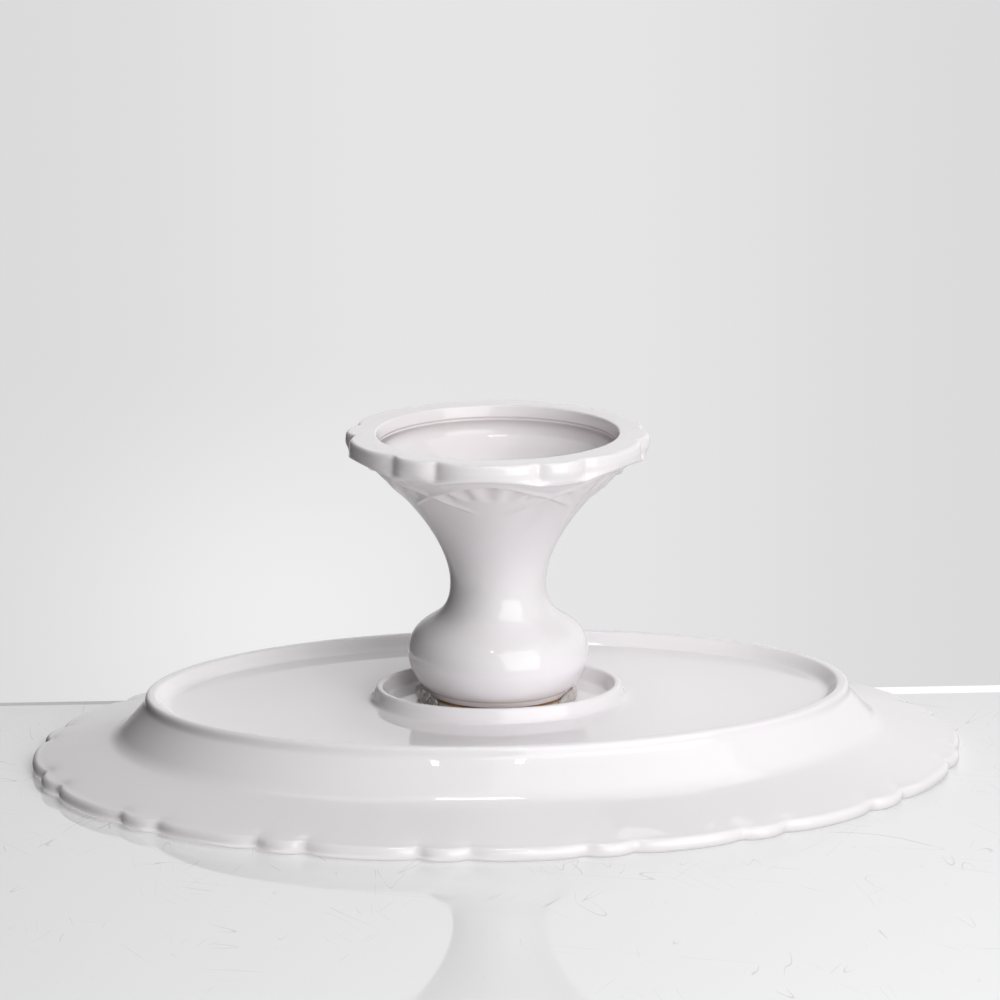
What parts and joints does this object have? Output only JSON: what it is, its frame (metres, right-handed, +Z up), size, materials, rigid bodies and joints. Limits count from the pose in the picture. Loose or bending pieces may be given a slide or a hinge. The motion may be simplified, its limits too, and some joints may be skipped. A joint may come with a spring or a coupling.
{
  "type": "footed cake stand",
  "caption": "Footed cake stand in white glazed porcelain: a scalloped oval plate with a shallow well, glued on a hollow pedestal with a bulb, a neck and a lobed foot.",
  "frame": {"origin": "on the surface that the stand rests on, in the middle of the plate's length and width, on the pedestal's axis", "axes": "+Z up through the pedestal, +X along the plate's longer axis, +Y across the plate. The picture shows the stand lying upside down on its plate; the part stands upright, as it is used."},
  "size_m": [0.3048, 0.2154, 0.109],
  "materials": {
    "white_glaze": "clear gloss glaze over white porcelain, with pinholes and kiln specks",
    "aged_glue": "amber glue gone dull with age",
    "clear_glue": "clear glue, glossy and lumpy"
  },
  "bodies": {
    "root": {"pedestal": "white_glaze", "glue_bed": "aged_glue", "glue_drops_long": "clear_glue", "glue_drops_short": "clear_glue", "plate": "white_glaze"}
  },
  "joints": []
}
